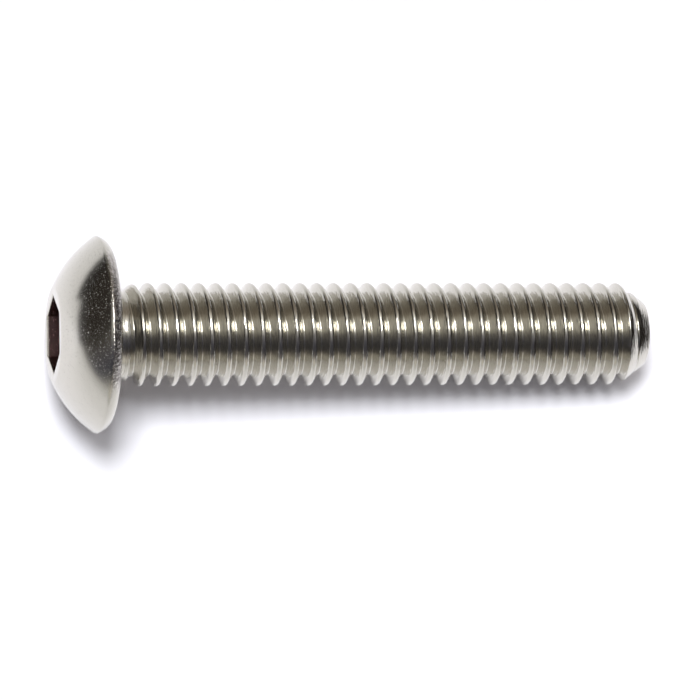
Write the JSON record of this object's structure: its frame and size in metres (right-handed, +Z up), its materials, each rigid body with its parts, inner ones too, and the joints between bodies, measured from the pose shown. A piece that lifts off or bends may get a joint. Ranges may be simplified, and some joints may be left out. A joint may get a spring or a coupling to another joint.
{
  "type": "button head screw",
  "caption": "Stainless machine screw with a low domed head, a hexagon socket and a fine right-hand thread from the neck to the tapered point, for clamping plates and covers.",
  "frame": {"origin": "centre of the flat bearing face under the head, on the screw's axis", "axes": "+X from the head to the point, with the axis leaning down by 5.0 degrees as the screw lies at rest on the edge of its head and its last thread crest; +Y level, across the screw; +Z up"},
  "size_m": [0.028, 0.009, 0.0091],
  "materials": {
    "stainless_steel": "plain, bright from cold heading and thread rolling"
  },
  "bodies": {
    "root": {"screw": "stainless_steel"}
  },
  "joints": []
}
